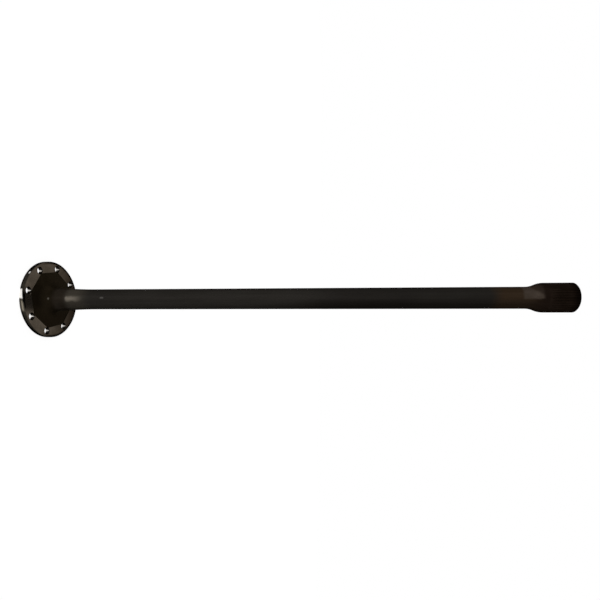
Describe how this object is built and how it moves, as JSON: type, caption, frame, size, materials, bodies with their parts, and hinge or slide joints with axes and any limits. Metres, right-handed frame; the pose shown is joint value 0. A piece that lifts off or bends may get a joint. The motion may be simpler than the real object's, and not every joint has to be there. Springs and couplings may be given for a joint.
{
  "type": "axle shaft",
  "caption": "One-piece flanged drive axle shaft: a round bolting flange with drilled holes, a flared hub, a long plain shaft and an enlarged splined end that drives a side gear.",
  "frame": {"origin": "centre of the outboard face of the flange, which the shaft stands on", "axes": "+Z along the shaft's axis, from the flange to the splined end; +X through the middle of a bolt hole"},
  "size_m": [0.1619, 0.162, 1.0695],
  "materials": {
    "blackened_steel": "oiled black, as forged and turned"
  },
  "bodies": {
    "root": {"axle_shaft": "blackened_steel"}
  },
  "joints": []
}
